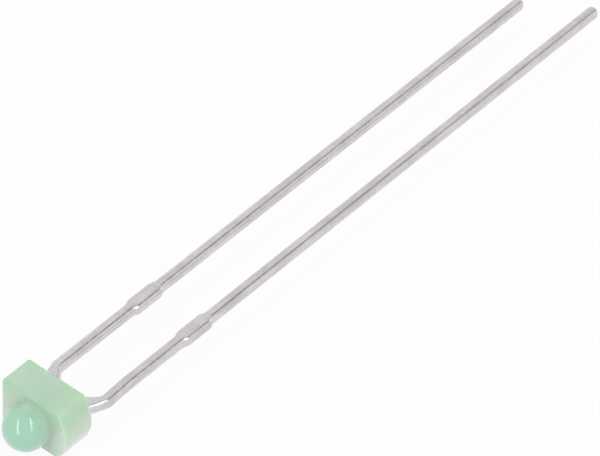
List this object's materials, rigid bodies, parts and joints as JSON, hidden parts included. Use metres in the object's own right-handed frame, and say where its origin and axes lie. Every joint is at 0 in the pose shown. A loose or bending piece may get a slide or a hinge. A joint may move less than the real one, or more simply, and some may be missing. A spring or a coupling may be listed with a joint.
{
  "type": "through-hole light-emitting diode",
  "caption": "Small indicator diode: a flat block of green diffused epoxy with a dome on its front, and two long square tinned leads of unequal length with stand-off ears.",
  "frame": {"origin": "centre of the body's base face, where the leads come out, on the middle plane of the lead frame", "axes": "+X from the cathode lead to the anode lead, +Y from the lens towards the lead tips, +Z through the thickness of the body, up from the wide side that it lies on"},
  "size_m": [0.0032, 0.0338, 0.0024],
  "materials": {
    "green_epoxy": "cast diffused epoxy, pale milky green, satin gloss",
    "tinned_steel": "bright tin plating with fine drawing and tooling marks",
    "semiconductor": "sawn semiconductor",
    "silver_epoxy": "matt silver-filled epoxy",
    "gold": "drawn gold"
  },
  "bodies": {
    "root": {"lens_body": "green_epoxy", "cathode_lead": "tinned_steel", "anode_lead": "tinned_steel", "led_chip": "semiconductor", "die_attach": "silver_epoxy", "bond_wire": "gold"}
  },
  "joints": []
}
